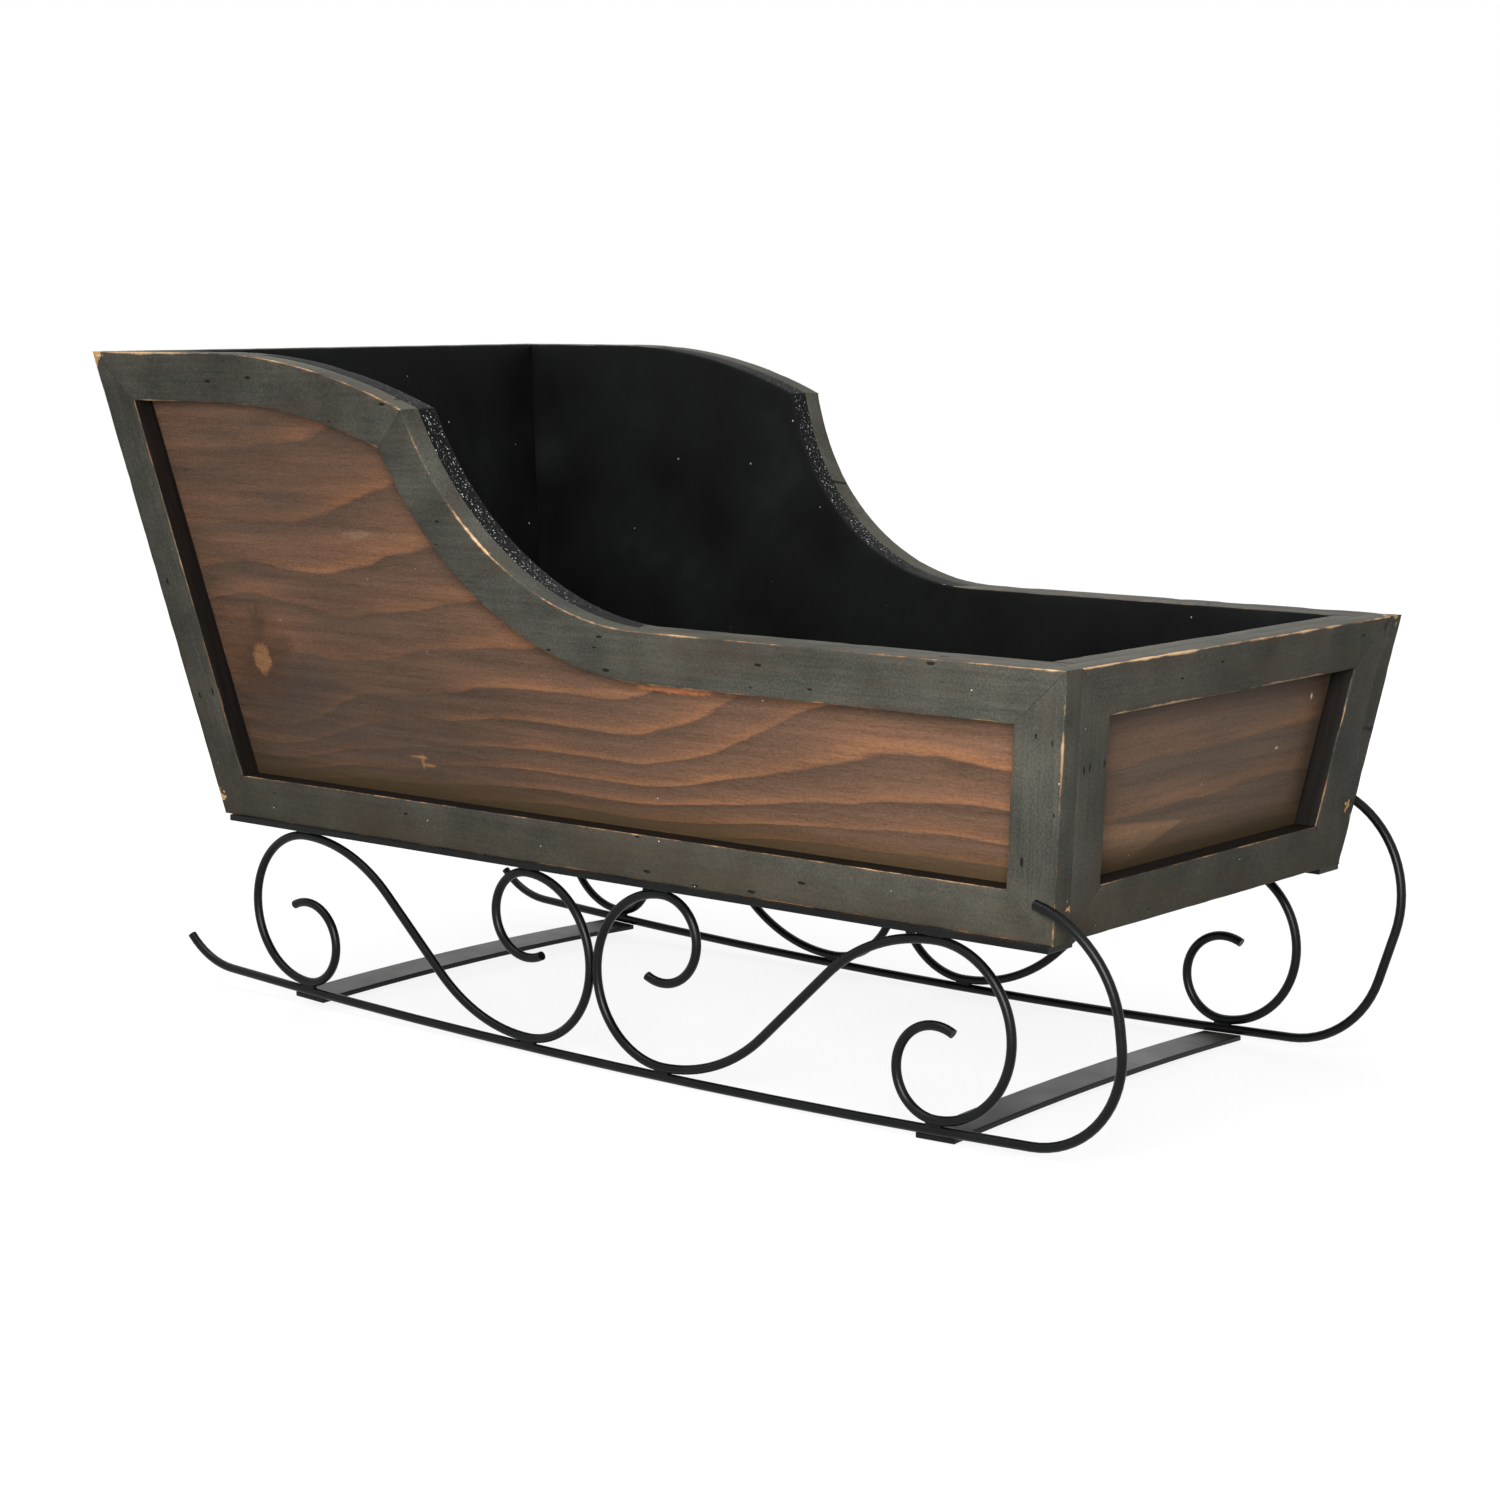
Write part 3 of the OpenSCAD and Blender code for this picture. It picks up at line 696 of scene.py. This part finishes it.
back = add(tree, "MapRange", {"Value": along, "From Min": -220 * MM, "From Max": 100 * MM,
                              "To Min": 0.5, "To Max": 0.1})
drift = add(tree, "VectorMath", {0: grain, 1: (9, 50, 0)}, operation="MULTIPLY")
smoke = add(tree, "TexNoise", {"Vector": drift, "Scale": 1.0, "Detail": 4.0, "Roughness": 0.6})
smoke = add(tree, "MapRange", {"Value": smoke, "From Min": 0.38, "From Max": 0.68, "To Max": 1.6})
back = add(tree, "Math", {0: back, 1: smoke}, operation="MULTIPLY")
colour = add(tree, "Mix", {0: back, 6: colour, 7: linear("4a4038")}, out=2, data_type="RGBA")
# Darker low down, most towards the back
low_dark = add(tree, "MapRange", {"Value": height, "From Min": 70 * MM, "From Max": 130 * MM,
                             "To Min": 0.85, "To Max": 0.0})
low_dark_back = add(tree, "MapRange", {"Value": along, "From Min": -40 * MM, "From Max": 50 * MM,
                                  "To Min": 1.0, "To Max": 0.25})
low_dark_back = add(tree, "Math", {0: low_dark_back, 1: plain}, operation="MULTIPLY")
low_dark = add(tree, "Math", {0: low_dark, 1: low_dark_back}, operation="MULTIPLY")
colour = add(tree, "Mix", {0: low_dark, 6: colour, 7: linear("342f29")}, out=2, data_type="RGBA")
print("stain: coloured, with", len(tree.nodes), "nodes")

# %% [markdown]
# ## Walnut stain: tongue, knot and scuffs
# Three things make these boards this sleigh's own: a pale pointed tongue on the front, a tan knot
# at the back of the side, and some scuffs. The tongue is a wedge; the knot and each scuff are small
# distance fields: how far a point is from a middle, counted in sizes of the mark. A noise roughens
# those, so that no rim looks drawn by compass.

# %% Mark the boards
TONGUE_TIP = (-609 * MM, 93 * MM)
KNOT_SIZE = (10 * MM, 11.5 * MM, 1.0)
# Scuffs on the planks: place along and up, size along and up, in millimetres, colour and strength
SCUFFS = (
    ((-99, 43.5), (7, 1.1), "a27c54", 0.6),
    ((-97, 41), (1.2, 4.0), "a27c54", 0.5),
    ((-93, 40), (5, 1.0), "a27c54", 0.5),
    ((-120, 150), (13, 3), "8d7863", 0.35),
    ((70, 90.4), (26, 2.0), "bd7850", 0.85),
    ((-201, 103), (8, 10), "3f3028", 0.5),
    ((-184, 92), (10, 7), "46362c", 0.4),
    ((-516, 137), (1.1, 1.8), "e6e2da", 1.0),
    ((-540, 116), (1.6, 0.9), "c9b79e", 0.8),
)
# The front's plank is paler and greyer, with one pointed tongue: a wedge that ends at its tip
colour = add(tree, "Mix", {0: pale, 6: colour, 7: linear("665647")}, out=2, data_type="RGBA")
behind = add(tree, "Math", {0: TONGUE_TIP[0], 1: along}, operation="SUBTRACT")
aside = add(tree, "Math", {0: height, 1: TONGUE_TIP[1]}, operation="SUBTRACT")
aside = add(tree, "Math", {0: behind, 1: 0.1, 2: aside}, operation="MULTIPLY_ADD")
aside = add(tree, "Math", {0: aside}, operation="ABSOLUTE")
half_width = add(tree, "Math", {0: behind, 1: 0.2}, operation="MULTIPLY")
within = add(tree, "Math", {0: aside, 1: -1.0, 2: half_width}, operation="MULTIPLY_ADD")
tongue = add(tree, "MapRange", {"Value": within, "From Min": -0.3 * MM, "From Max": 1.2 * MM,
                                "To Max": 0.7})
colour = add(tree, "Mix", {0: tongue, 6: colour, 7: linear("8a6a50")}, out=2, data_type="RGBA")
# The knot, a tan oval with a slightly uneven rim, and the scuffs
ragged = add(tree, "TexNoise", {"Vector": grain, "Scale": 260.0, "Detail": 4.0})
eye = add(tree, "VectorMath", {0: from_knot, 1: tuple(1 / s for s in KNOT_SIZE)},
          operation="MULTIPLY")
eye = add(tree, "VectorMath", {0: eye}, out="Value", operation="LENGTH")
eye = add(tree, "Math", {0: ragged, 1: 0.7, 2: eye}, operation="MULTIPLY_ADD")
halo = add(tree, "MapRange", {"Value": eye, "From Min": 1.0, "From Max": 3.0, "To Min": 0.75,
                              "To Max": 0.0})
colour = add(tree, "Mix", {0: halo, 6: colour, 7: linear("463226")}, out=2, data_type="RGBA")
knot = add(tree, "MapRange", {"Value": eye, "From Min": 0.85, "From Max": 1.1, "To Min": 0.85,
                              "To Max": 0.0})
colour = add(tree, "Mix", {0: knot, 6: colour, 7: linear("8f6848")}, out=2, data_type="RGBA")
for place, size, tint, strength in SCUFFS:
    middle = (place[0] * MM, place[1] * MM, 0)
    per_size = (1 / (size[0] * MM), 1 / (size[1] * MM), 0)
    scuff = add(tree, "VectorMath", {0: grain, 1: middle}, operation="SUBTRACT")
    scuff = add(tree, "VectorMath", {0: scuff, 1: per_size}, operation="MULTIPLY")
    scuff = add(tree, "VectorMath", {0: scuff}, out="Value", operation="LENGTH")
    scuff = add(tree, "Math", {0: ragged, 1: 1.6, 2: scuff}, operation="MULTIPLY_ADD")
    scuff = add(tree, "MapRange", {"Value": scuff, "From Min": 1.2, "From Max": 1.8,
                                   "To Min": strength, "To Max": 0.0})
    colour = add(tree, "Mix", {0: scuff, 6: colour, 7: linear(tint)}, out=2, data_type="RGBA")
print("stain: marked, with", len(tree.nodes), "nodes")

# %% [markdown]
# ## Walnut stain: fibres, painted shade and gloss
# Close up, stained pine is fibrous: thin lines along the grain, and pores that hold more stain. The
# panel is darkened along the frame as painted shade, most on the front, and above the sill the stain
# has run together and dried olive. The finish is an oil stain with little gloss, and the fibres
# stand up by a tenth of a millimetre at most, which a bump in the shader can show.

# %% Add the fibres and the painted shade
# Streaks about 80 mm long and 4 mm apart, and fibres about 8 mm long and 0.7 mm apart
long = add(tree, "VectorMath", {0: grain, 1: (12, 250, 0)}, operation="MULTIPLY")
streak = add(tree, "TexNoise", {"Vector": long, "Scale": 1.0, "Detail": 3.0, "Roughness": 0.6})
fine = add(tree, "VectorMath", {0: grain, 1: (130, 1500, 0)}, operation="MULTIPLY")
fibre = add(tree, "TexNoise", {"Vector": fine, "Scale": 1.0, "Detail": 3.0, "Roughness": 0.7})
# Pores about 2 mm long and 1 mm wide make the stain grainy
pores = add(tree, "VectorMath", {0: grain, 1: (550, 900, 0)}, operation="MULTIPLY")
pores = add(tree, "TexNoise", {"Vector": pores, "Scale": 1.0, "Detail": 2.0})
shade = add(tree, "Math", {0: fibre, 1: streak}, operation="ADD")
shade = add(tree, "Math", {0: pores, 1: 0.8, 2: shade}, operation="MULTIPLY_ADD")
shade = add(tree, "MapRange", {"Value": shade, "From Min": 1.0, "From Max": 1.8, "To Min": 0.6,
                               "To Max": 1.34})
colour = add(tree, "VectorMath", {0: colour, 1: shade}, operation="MULTIPLY")
# Painted shade along the frame, deepest on the front, olive stain along the sill, and specks of dust
shade_reach = add(tree, "Math", {0: pale, 1: 24.0, 2: 3.0}, operation="MULTIPLY_ADD")
shade_depth = add(tree, "Math", {0: pale, 1: 0.8, 2: 0.3}, operation="MULTIPLY_ADD")
# Painted shade: the panel darkens towards the frame, as in a recess
frame_shade = add(tree, "MapRange", {"Value": joint, "From Min": 0.0, "From Max": shade_reach,
                              "To Min": shade_depth, "To Max": 0.0})
colour = add(tree, "Mix", {0: frame_shade, 6: colour, 7: linear("2a2119")}, out=2, data_type="RGBA")
olive = add(tree, "MapRange", {"Value": sill, "From Min": 1.5, "From Max": 14.0, "To Min": 0.8,
                               "To Max": 0.0})
colour = add(tree, "Mix", {0: olive, 6: colour, 7: linear("3c3220")}, out=2, data_type="RGBA")
dust = dots(tree, grain, (60, 60, 0), 0.12, 0.025)
colour = add(tree, "Mix", {0: dust, 6: colour, 7: linear("c4b9aa")}, out=2, data_type="RGBA")
tree.links.new(colour, shader.inputs["Base Color"])
rough = add(tree, "MapRange", {"Value": fibre, "From Min": 0.3, "From Max": 0.7, "To Min": 0.42,
                               "To Max": 0.58})
tree.links.new(rough, shader.inputs["Roughness"])
shader.inputs["Specular IOR Level"].default_value = 0.1
bump = add(tree, "Bump", {"Height": fibre, "Strength": 0.3, "Distance": 0.12 * MM})
tree.links.new(bump, shader.inputs["Normal"])
print("finish:", stain_finish.name)

# %% [markdown]
# ## Flat black inside
# The inside and the boards' rims are sprayed flat black, with faint clouds and dust. On the swept
# rims the rough sawn end grain glitters, so pale specks are painted there as glints. Those rims are
# found by the way they face, up and forward, so that one finish does for the whole board.

# %% Spray the inside
black_finish, tree, shader = new_finish("flat_black_paint")
grain = add(tree, "Attribute", out="Vector", attribute_name="grain")
cloud = add(tree, "TexNoise", {"Vector": grain, "Scale": 22.0, "Detail": 4.0})
colour = add(tree, "ValToRGB", {"Fac": cloud}, stops=((0.3, "090909"), (0.6, "0f1010"),
                                                      (0.8, "181919")))
# A painted glint is about 1 mm wide; only rims that slope forward and look up have them
facing = add(tree, "NewGeometry", out="True Normal")
sloped = add(tree, "SeparateXYZ", {0: facing}, out="X")
level = add(tree, "SeparateXYZ", {0: facing}, out="Z")
sawn = add(tree, "MapRange", {"Value": sloped, "From Min": 0.2, "From Max": 0.55})
edge = add(tree, "Attribute", out="Fac", attribute_name="edge_mm")
inner = add(tree, "Math", {0: edge, 1: 1.0}, operation="GREATER_THAN")
sawn = add(tree, "Math", {0: sawn, 1: inner}, operation="MULTIPLY")
upward = add(tree, "Math", {0: level, 1: 0.3}, operation="GREATER_THAN")
sawn = add(tree, "Math", {0: sawn, 1: upward}, operation="MULTIPLY")
place = add(tree, "TexCoord", out="Object")
painted_glint = add(tree, "TexNoise", {"Vector": place, "Scale": 1000.0, "Detail": 1.0})
painted_glint = add(tree, "MapRange", {"Value": painted_glint, "From Min": 0.64, "From Max": 0.76})
painted_glint = add(tree, "Math", {0: painted_glint, 1: sawn}, operation="MULTIPLY")
dust = dots(tree, grain, (40, 40, 0), 0.15, 0.025)
# Pale marks: real dust, and the painted glints of the rough rims
pale = add(tree, "Math", {0: dust, 1: 0.5, 2: painted_glint}, operation="MULTIPLY_ADD")
colour = add(tree, "Mix", {0: pale, 6: colour, 7: linear("c4c5c3")}, out=2, data_type="RGBA")
tree.links.new(colour, shader.inputs["Base Color"])
shader.inputs["Specular IOR Level"].default_value = 0.06
rough = add(tree, "MapRange", {"Value": cloud, "From Min": 0.3, "From Max": 0.7, "To Min": 0.5,
                               "To Max": 0.7})
tree.links.new(rough, shader.inputs["Roughness"])
print("finish:", black_finish.name)

# %% [markdown]
# ## Dark edges round the panels
# The edges facing into a panel's opening are coloured nearly black, a dark stain with painted shade
# for the recess, so a panel seems to lie in a dark line. A shadow could be drawn on the panel
# instead, but it would stay in one place under any lamp; a dark edge looks right from all sides.

# %% Stain the edges round a panel and paint their shade
recess_shade_finish, tree, shader = new_finish("dark_stain_and_recess_shade")
grain = add(tree, "Attribute", out="Vector", attribute_name="grain")
brushed = add(tree, "VectorMath", {0: grain, 1: (40, 600, 600)}, operation="MULTIPLY")
streak = add(tree, "TexNoise", {"Vector": brushed, "Scale": 1.0, "Detail": 3.0})
# Near black: a dark stain, and painted shade for the recess round the panel
colour = add(tree, "ValToRGB", {"Fac": streak}, stops=((0.35, "0a0807"), (0.65, "17110d")))
tree.links.new(colour, shader.inputs["Base Color"])
shader.inputs["Roughness"].default_value = 0.6
shader.inputs["Specular IOR Level"].default_value = 0.15
print("finish:", recess_shade_finish.name)

# %% [markdown]
# ## Which face gets which finish
# A board is stained outside, black inside, and painted with the frame on its level rim. Faces could
# be picked one by one; here the way a face looks decides. Only the strips' inner edges need more: a
# ray from just off the face meets the board if the face looks into a panel's opening.

# %% Lay the finishes on the wood
FINISHES = (paint_finish, stain_finish, black_finish, recess_shade_finish)
PAINT, STAIN, BLACK, DARK = range(len(FINISHES))
FACING = 0.9
ASIDE = 0.3
RIM_SLOPE = 0.08
PROBE = 3 * MM
PROBE_REACH = 36 * MM


def in_opening(face, board, out):
    """True if the board lies behind a point just off the face: it looks into the opening."""
    start = face.center + face.normal * PROBE
    return trees[board].ray_cast(start, -out, PROBE_REACH)[0] is not None


for name, piece in pieces.items():
    out = outward(wall_of(name))
    for finish in FINISHES:
        piece.data.materials.append(finish)
    for face in piece.data.polygons:
        turned = face.normal.dot(out)
        if slots[name] == "frame_paint":
            hidden = abs(turned) < ASIDE and in_opening(face, wall_of(name), out)
            # Faces that look into an opening get the near-black edge finish, which holds painted
            # recess shade
            face.material_index = DARK if hidden else PAINT
        elif slots[name] == "stained_board" and turned > -FACING:
            level_rim = face.normal.z > FACING and face.normal.x < RIM_SLOPE
            face.material_index = STAIN if turned > FACING else PAINT if level_rim else BLACK
        else:
            face.material_index = BLACK
print("painted", len(pieces), "pieces of wood")

# %% [markdown]
# ## Satin iron
# Rods, bars and straps are mild steel under satin black enamel, which has a faint orange peel and
# soft broad highlights. Under enamel no bare metal shows, so the shader isn't metallic: a dark base
# with a soft gloss is what the eye meets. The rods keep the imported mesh, which is already round.

# %% Enamel the iron
iron_finish, tree, shader = new_finish("satin_black_enamel")
place = add(tree, "TexCoord", out="Object")
peel = add(tree, "TexNoise", {"Vector": place, "Scale": 700.0, "Detail": 2.0})
cloud = add(tree, "TexNoise", {"Vector": place, "Scale": 60.0, "Detail": 3.0})
colour = add(tree, "ValToRGB", {"Fac": cloud}, stops=((0.3, "060707"), (0.7, "0e0f0f")))
# The level tops of the straps and bars are painted grey, as sheen from the light above
facing = add(tree, "NewGeometry", out="True Normal")
level = add(tree, "SeparateXYZ", {0: facing}, out="Z")
top_sheen = add(tree, "MapRange", {"Value": level, "From Min": 0.97, "From Max": 1.0, "To Max": 0.6})
patchy = add(tree, "Math", {0: cloud, 1: 2.0}, operation="MULTIPLY")
top_sheen = add(tree, "Math", {0: top_sheen, 1: patchy}, operation="MULTIPLY")
# Painted sheen: the grey lightens the level tops where light falls on them
colour = add(tree, "Mix", {0: top_sheen, 6: colour, 7: linear("454543")}, out=2, data_type="RGBA")
tree.links.new(colour, shader.inputs["Base Color"])
shader.inputs["Specular IOR Level"].default_value = 0.15
rough = add(tree, "MapRange", {"Value": cloud, "From Min": 0.3, "From Max": 0.7, "To Min": 0.28,
                               "To Max": 0.4})
tree.links.new(rough, shader.inputs["Roughness"])
bump = add(tree, "Bump", {"Height": peel, "Strength": 0.25, "Distance": 0.1 * MM})
tree.links.new(bump, shader.inputs["Normal"])

flat_iron = [name for name in iron if name.endswith(("_bar", "_strap"))]
for name in iron:
    if name not in flat_iron:
        nodes[name].data.materials.clear()
        nodes[name].data.materials.append(iron_finish)
print("finish:", iron_finish.name, "on", len(iron) - len(flat_iron), "rods")

# %% [markdown]
# ## Flat bars and straps
# Flat bar leaves the rolling mill with slightly round edges, which show as a thin light line. Each
# bar and strap is copied and bevelled for that, and shaded flat, since smooth shading would bend
# the highlights on such large level faces. The two bars also run on a little at the front.

# %% Round the flat iron
IRON_BEVEL = 0.5 * MM
BAR_OVERHANG = 4.7 * MM

for name in flat_iron:
    strip = merged_copy(name)
    front_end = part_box(name)[1].x
    if name.endswith("_bar"):
        for vert in strip.data.vertices:
            vert.co.x += BAR_OVERHANG if vert.co.x > front_end - IRON_BEVEL else 0.0
    sharp_edges(strip, name)
    bevel_edges(strip, IRON_BEVEL)
    bpy.ops.object.shade_flat()
    strip.data.materials.append(iron_finish)
    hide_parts(name)
    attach(strip, "root")
print("rounded", flat_iron)
